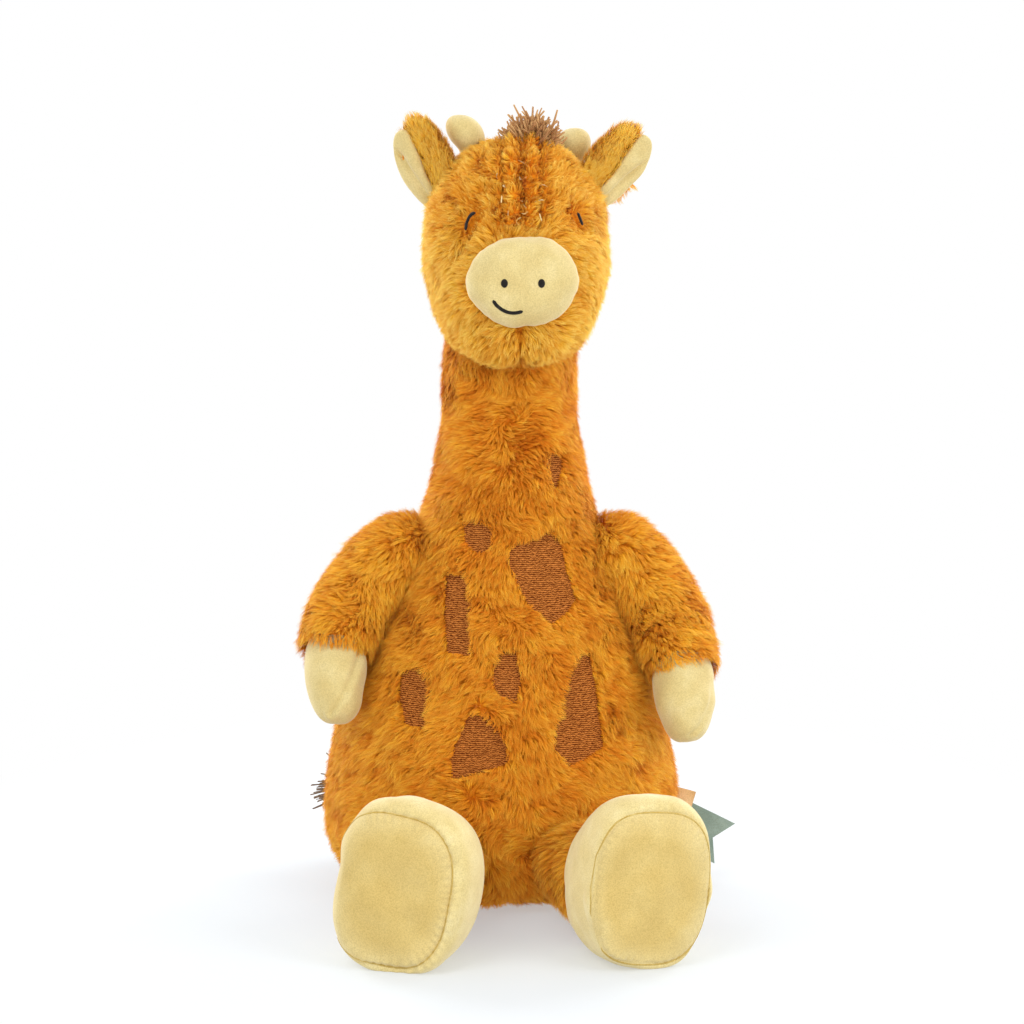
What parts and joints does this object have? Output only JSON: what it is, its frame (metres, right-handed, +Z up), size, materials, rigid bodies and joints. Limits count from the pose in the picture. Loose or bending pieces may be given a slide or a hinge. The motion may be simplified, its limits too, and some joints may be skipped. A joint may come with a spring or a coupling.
{
  "type": "plush giraffe",
  "caption": "Seated stuffed giraffe with a pear-shaped fur body, long neck, sewn-on limbs that swing, minky muzzle, hands and feet, and sunken embroidered spots.",
  "frame": {"origin": "middle of the flat seat, on the surface that the toy sits on", "axes": "+Z up along the neck, the toy faces -Y, +X is the toy's own left side"},
  "size_m": [0.2258, 0.262, 0.4045],
  "materials": {
    "fur": "long golden-orange pile, combed downward",
    "minky": "pale yellow short-nap plush",
    "sole": "yellow short-nap plush, a shade deeper",
    "brown_thread": "embroidered fill of fine thread rows",
    "black_thread": "satin stitch",
    "yarn": "fuzzy brown yarn",
    "filling": "white polyester fibre",
    "bag_cloth": "plain cotton bag of plastic beans",
    "ribbon_cloth": "grey-green woven ribbon, bare",
    "tab_cloth": "tan woven tape, bare"
  },
  "bodies": {
    "torso": {"torso_skin": "fur", "torso_stuffing": "filling", "seat_bean_bag": "bag_cloth", "spot_neck": "brown_thread", "spot_chest_right": "brown_thread", "spot_chest_left": "brown_thread", "spot_side_right": "brown_thread", "spot_hip_right": "brown_thread", "spot_middle": "brown_thread", "spot_belly": "brown_thread", "spot_hip_left": "brown_thread", "side_label": "tab_cloth"},
    "head": {"head_skin": "fur", "head_stuffing": "filling", "muzzle_skin": "minky", "muzzle_stuffing": "filling", "nostril_left": "black_thread", "nostril_right": "black_thread", "smile": "black_thread", "eye_left": "black_thread", "eye_right": "black_thread", "horn_left": "minky", "horn_right": "minky", "hair_tuft": "yarn"},
    "ear_left": {"ear_back_left": "fur", "ear_lining_left": "minky"},
    "ear_right": {"ear_back_right": "fur", "ear_lining_right": "minky"},
    "arm_left": {"arm_skin_left": "fur", "arm_stuffing_left": "filling", "hand_skin_left": "minky", "hand_stuffing_left": "filling"},
    "arm_right": {"arm_skin_right": "fur", "arm_stuffing_right": "filling", "hand_skin_right": "minky", "hand_stuffing_right": "filling"},
    "leg_left": {"leg_skin_left": "fur", "leg_stuffing_left": "filling", "foot_upper_left": "minky", "foot_sole_left": "sole", "foot_stuffing_left": "filling"},
    "leg_right": {"leg_skin_right": "fur", "leg_stuffing_right": "filling", "foot_upper_right": "minky", "foot_sole_right": "sole", "foot_stuffing_right": "filling"},
    "tail": {"tail_cord": "fur", "tail_tassel": "yarn"},
    "ribbon": {"ribbon_label": "ribbon_cloth"}
  },
  "joints": [
    {"name": "head_nod", "type": "hinge", "parent": "torso", "child": "head", "pos_m": [0, 0, 0.292], "axis": [1, 0, 0], "range_deg": [-12, 12], "stiffness_Nm_per_rad": 0.6},
    {"name": "ear_fold_left", "type": "hinge", "parent": "head", "child": "ear_left", "pos_m": [0.0405, 0.004, 0.35666], "axis": [0.7205, 0.5062, -0.4739], "range_deg": [-10, 30], "stiffness_Nm_per_rad": 0.02},
    {"name": "ear_fold_right", "type": "hinge", "parent": "head", "child": "ear_right", "pos_m": [-0.0345, 0.004, 0.35666], "axis": [0.7812, -0.5526, 0.2905], "range_deg": [-5, 30], "stiffness_Nm_per_rad": 0.02},
    {"name": "shoulder_left", "type": "hinge", "parent": "torso", "child": "arm_left", "pos_m": [0.0565, -0.006, 0.1735], "axis": [0, -1, 0], "range_deg": [0, 60]},
    {"name": "shoulder_right", "type": "hinge", "parent": "torso", "child": "arm_right", "pos_m": [-0.0565, -0.006, 0.1735], "axis": [0, 1, 0], "range_deg": [0, 60]},
    {"name": "hip_left", "type": "hinge", "parent": "torso", "child": "leg_left", "pos_m": [0.034, -0.08, 0.0285], "axis": [1, 0, 0], "range_deg": [-5, 50]},
    {"name": "hip_right", "type": "hinge", "parent": "torso", "child": "leg_right", "pos_m": [-0.034, -0.08, 0.0285], "axis": [1, 0, 0], "range_deg": [-5, 50]},
    {"name": "tail_root", "type": "hinge", "parent": "torso", "child": "tail", "pos_m": [0, 0.07075, 0.04], "axis": [0, 0, -1], "range_deg": [0, 60], "stiffness_Nm_per_rad": 0.01},
    {"name": "label_fold", "type": "hinge", "parent": "torso", "child": "ribbon", "pos_m": [0.088, -0.006, 0.033], "axis": [0, 0, 1], "range_deg": [-10, 50], "stiffness_Nm_per_rad": 0.002}
  ]
}
